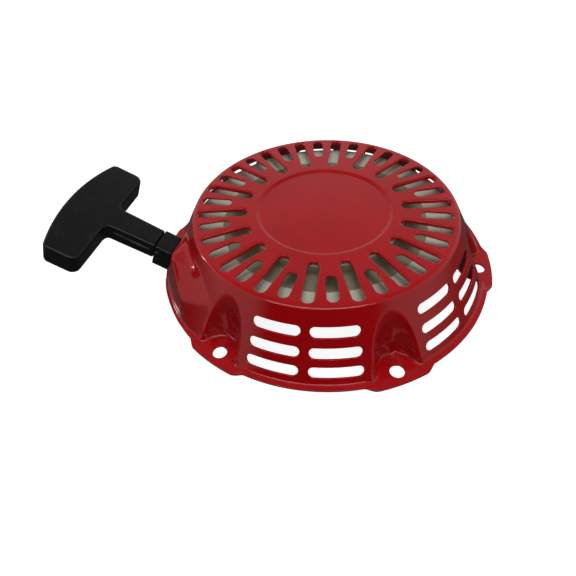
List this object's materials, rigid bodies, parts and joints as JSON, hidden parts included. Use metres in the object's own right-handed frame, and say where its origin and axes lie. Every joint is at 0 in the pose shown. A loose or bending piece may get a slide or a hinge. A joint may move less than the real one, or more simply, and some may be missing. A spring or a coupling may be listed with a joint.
{
  "type": "recoil starter",
  "caption": "Small-engine recoil starter: louvred drum-shaped steel case with a bolt flange, rope reel, rewind spring, pawl clutch, rope guide and T-handle.",
  "frame": {"origin": "centre of the mounting flange's underside, on the reel's spin axis", "axes": "+Z along the spin axis, from the flange through the closed top; +X through one flange ear; the handle leaves near -X"},
  "size_m": [0.2327, 0.1848, 0.0502],
  "materials": {
    "red_paint": "gloss red paint on stamped sheet",
    "black_plastic": "satin moulded black",
    "nylon": "natural olive-cream nylon",
    "rope": "braided white starter rope",
    "zinc_steel": "zinc plated",
    "pawl_steel": "hardened, darkened by heat treatment",
    "spring_steel": "blued spring steel"
  },
  "bodies": {
    "housing": {"case": "red_paint", "centre_post": "zinc_steel", "rope_guide": "black_plastic", "thrust_washer": "zinc_steel", "centre_screw": "zinc_steel", "friction_spring": "spring_steel", "rope_lead": "rope"},
    "reel": {"reel": "nylon", "mainspring": "spring_steel", "rope_coil": "rope", "reel_knot": "rope", "pawl_spring_1": "spring_steel", "pawl_spring_2": "spring_steel"},
    "guide_plate": {"guide_plate": "zinc_steel"},
    "pawl_1": {"pawl_1": "pawl_steel"},
    "pawl_2": {"pawl_2": "pawl_steel"},
    "handle": {"grip": "black_plastic", "rope_tail": "rope", "rope_retainer": "zinc_steel", "grip_knot": "rope"}
  },
  "joints": [
    {"name": "handle_pull", "type": "slide", "parent": "housing", "child": "handle", "axis": [-0.9091, 0.1036, 0.4035], "range_m": [0, 0.6], "stiffness_N_per_m": 30, "springref_m": -0.5, "deforming": ["rope_lead"]},
    {"name": "reel_spin", "type": "hinge", "parent": "housing", "child": "reel", "pos_m": [0, 0, 0.02], "axis": [0, 0, 1], "range_deg": [-960.5, 0], "deforming": ["mainspring"]},
    {"name": "plate_turn", "type": "hinge", "parent": "reel", "child": "guide_plate", "pos_m": [0, 0, 0.0081], "axis": [0, 0, 1], "range_deg": [0, 20], "stiffness_Nm_per_rad": 0.02, "springref_deg": -17.19},
    {"name": "pawl_1_swing", "type": "hinge", "parent": "reel", "child": "pawl_1", "pos_m": [0.021, 0, 0.011], "axis": [0, 0, 1], "range_deg": [0, 25], "deforming": ["pawl_spring_1"]},
    {"name": "pawl_2_swing", "type": "hinge", "parent": "reel", "child": "pawl_2", "pos_m": [-0.021, 0, 0.011], "axis": [0, 0, 1], "range_deg": [0, 25], "deforming": ["pawl_spring_2"]}
  ],
  "couplings": [
    {"joint": "reel_spin", "follows": "handle_pull", "rad_per_m": -27.933},
    {"joint": "pawl_1_swing", "follows": "plate_turn", "ratio": 1.25},
    {"joint": "pawl_2_swing", "follows": "plate_turn", "ratio": 1.25}
  ]
}
